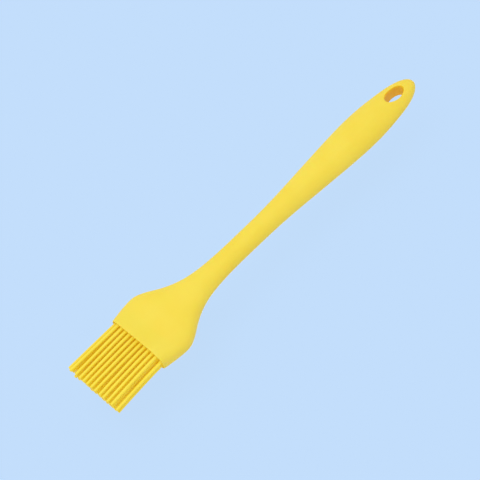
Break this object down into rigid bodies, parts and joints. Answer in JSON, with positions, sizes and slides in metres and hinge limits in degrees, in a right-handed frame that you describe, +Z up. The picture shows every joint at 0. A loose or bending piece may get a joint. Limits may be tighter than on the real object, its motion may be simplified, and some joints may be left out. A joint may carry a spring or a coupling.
{
  "type": "silicone basting brush",
  "caption": "One-piece soft silicone basting brush: flat flared head with a dense tuft of round bristles, slim neck, rounded grip and an oval hanging hole, over a stiff core.",
  "frame": {"origin": "on the surface that the brush lies on, below the middle of its length and width", "axes": "+X along the handle towards the hanging hole, with the bristle tips at -X; +Y across the width; +Z up, through the thickness"},
  "size_m": [0.21, 0.0374, 0.012],
  "materials": {
    "silicone_skin": "soft satin yellow silicone",
    "silicone_bristles": "yellow silicone, a little glossier and more translucent where it is thin",
    "nylon_core": "moulded natural nylon, hidden inside"
  },
  "bodies": {
    "handle": {"handle_skin": "silicone_skin", "core": "nylon_core", "bristle_block": "silicone_bristles"},
    "bristle_row_1": {"bristle_1_01": "silicone_bristles", "bristle_1_02": "silicone_bristles", "bristle_1_03": "silicone_bristles", "bristle_1_04": "silicone_bristles", "bristle_1_05": "silicone_bristles", "bristle_1_06": "silicone_bristles", "bristle_1_07": "silicone_bristles", "bristle_1_08": "silicone_bristles", "bristle_1_09": "silicone_bristles", "bristle_1_10": "silicone_bristles", "bristle_1_11": "silicone_bristles"},
    "bristle_row_2": {"bristle_2_01": "silicone_bristles", "bristle_2_02": "silicone_bristles", "bristle_2_03": "silicone_bristles", "bristle_2_04": "silicone_bristles", "bristle_2_05": "silicone_bristles", "bristle_2_06": "silicone_bristles", "bristle_2_07": "silicone_bristles", "bristle_2_08": "silicone_bristles", "bristle_2_09": "silicone_bristles", "bristle_2_10": "silicone_bristles", "bristle_2_11": "silicone_bristles", "bristle_2_12": "silicone_bristles", "bristle_2_13": "silicone_bristles"},
    "bristle_row_3": {"bristle_3_01": "silicone_bristles", "bristle_3_02": "silicone_bristles", "bristle_3_03": "silicone_bristles", "bristle_3_04": "silicone_bristles", "bristle_3_05": "silicone_bristles", "bristle_3_06": "silicone_bristles", "bristle_3_07": "silicone_bristles", "bristle_3_08": "silicone_bristles", "bristle_3_09": "silicone_bristles", "bristle_3_10": "silicone_bristles", "bristle_3_11": "silicone_bristles", "bristle_3_12": "silicone_bristles", "bristle_3_13": "silicone_bristles"},
    "bristle_row_4": {"bristle_4_01": "silicone_bristles", "bristle_4_02": "silicone_bristles", "bristle_4_03": "silicone_bristles", "bristle_4_04": "silicone_bristles", "bristle_4_05": "silicone_bristles", "bristle_4_06": "silicone_bristles", "bristle_4_07": "silicone_bristles", "bristle_4_08": "silicone_bristles", "bristle_4_09": "silicone_bristles", "bristle_4_10": "silicone_bristles", "bristle_4_11": "silicone_bristles"}
  },
  "joints": [
    {"name": "bend_row_1", "type": "hinge", "parent": "handle", "child": "bristle_row_1", "pos_m": [-0.0757, 0, 0.00915], "axis": [0, 1, 0], "range_deg": [-30, 30], "stiffness_Nm_per_rad": 0.0013},
    {"name": "bend_row_2", "type": "hinge", "parent": "handle", "child": "bristle_row_2", "pos_m": [-0.0757, 0, 0.00705], "axis": [0, 1, 0], "range_deg": [-30, 30], "stiffness_Nm_per_rad": 0.0013},
    {"name": "bend_row_3", "type": "hinge", "parent": "handle", "child": "bristle_row_3", "pos_m": [-0.0757, 0, 0.00495], "axis": [0, 1, 0], "range_deg": [-30, 30], "stiffness_Nm_per_rad": 0.0013},
    {"name": "bend_row_4", "type": "hinge", "parent": "handle", "child": "bristle_row_4", "pos_m": [-0.0757, 0, 0.00285], "axis": [0, 1, 0], "range_deg": [-30, 30], "stiffness_Nm_per_rad": 0.0013}
  ],
  "couplings": [
    {"joint": "bend_row_2", "follows": "bend_row_1", "ratio": 1},
    {"joint": "bend_row_3", "follows": "bend_row_1", "ratio": 1},
    {"joint": "bend_row_4", "follows": "bend_row_1", "ratio": 1}
  ]
}
